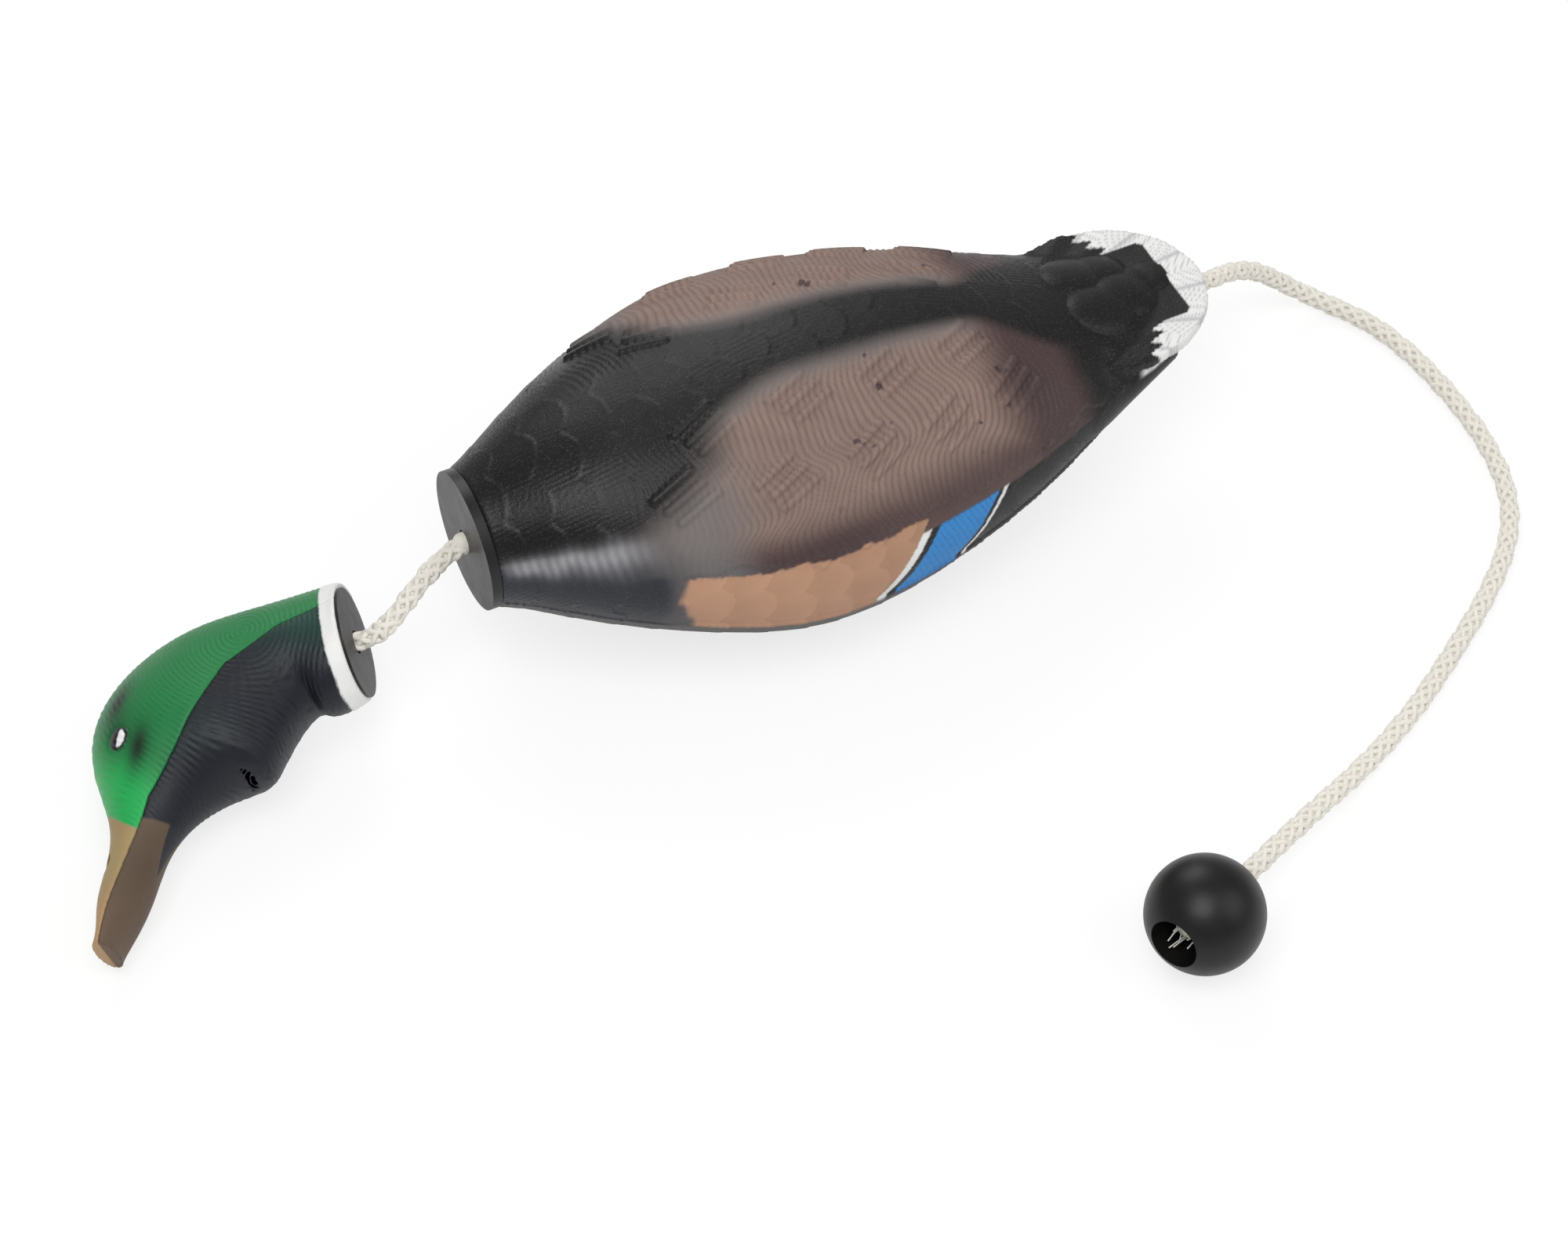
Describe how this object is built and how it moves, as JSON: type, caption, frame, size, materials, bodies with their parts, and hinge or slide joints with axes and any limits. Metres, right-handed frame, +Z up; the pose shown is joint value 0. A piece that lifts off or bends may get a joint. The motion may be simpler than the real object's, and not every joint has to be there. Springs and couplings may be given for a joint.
{
  "type": "retriever training duck dummy",
  "caption": "Life-size drake training dummy: soft body, hard head swinging on a rope, and a throwing ball on the tail rope.",
  "frame": {"origin": "centre of the flat rest face on the belly", "axes": "+Z up, the bird faces -X, its left side is -Y"},
  "size_m": [0.6051, 0.3512, 0.1184],
  "materials": {
    "painted_foam": "satin",
    "black_plastic": "satin",
    "core_plastic": "matte",
    "white_rope": "matte",
    "head_green": "satin",
    "head_dark": "satin",
    "ball_black": "satin"
  },
  "bodies": {
    "body": {"body_foam": "painted_foam", "front_disc": "black_plastic", "core_tube": "core_plastic", "tail_bush": "core_plastic", "rope_tail": "white_rope", "ball_knot": "white_rope"},
    "through_rope": {"rope_inner": "white_rope"},
    "link_front": {"rope_link_front": "white_rope"},
    "link_middle": {"rope_link_middle": "white_rope"},
    "link_head": {"rope_link_head": "white_rope", "head_knot": "white_rope"},
    "head": {"head_upper_shell": "head_green", "head_lower_shell": "head_dark", "neck_plug": "black_plastic", "stopper_washer": "core_plastic"},
    "ball": {"ball": "ball_black"}
  },
  "joints": [
    {"name": "rope_draw", "type": "slide", "parent": "body", "child": "through_rope", "axis": [-1, 0, 0], "range_m": [0, 0.018]},
    {"name": "rope_yaw", "type": "hinge", "parent": "through_rope", "child": "link_front", "pos_m": [-0.16, 0, 0.064], "axis": [0, 0, 1], "range_deg": [-30, 30]},
    {"name": "rope_pitch", "type": "hinge", "parent": "link_front", "child": "link_middle", "pos_m": [-0.176, -0.002, 0.056], "axis": [0, 1, 0], "range_deg": [-35, 40]},
    {"name": "head_swing", "type": "hinge", "parent": "link_middle", "child": "link_head", "pos_m": [-0.20024, -0.01621, 0.0473], "axis": [0, 0, 1], "range_deg": [-35, 35]},
    {"name": "head_twist", "type": "hinge", "parent": "link_head", "child": "head", "pos_m": [-0.21133, -0.0128, 0.04425], "axis": [-0.9244, 0.2847, -0.2539], "continuous": true},
    {"name": "ball_slide", "type": "slide", "parent": "body", "child": "ball", "axis": [0.8956, 0.4198, -0.1469], "range_m": [0, 0.018]}
  ]
}
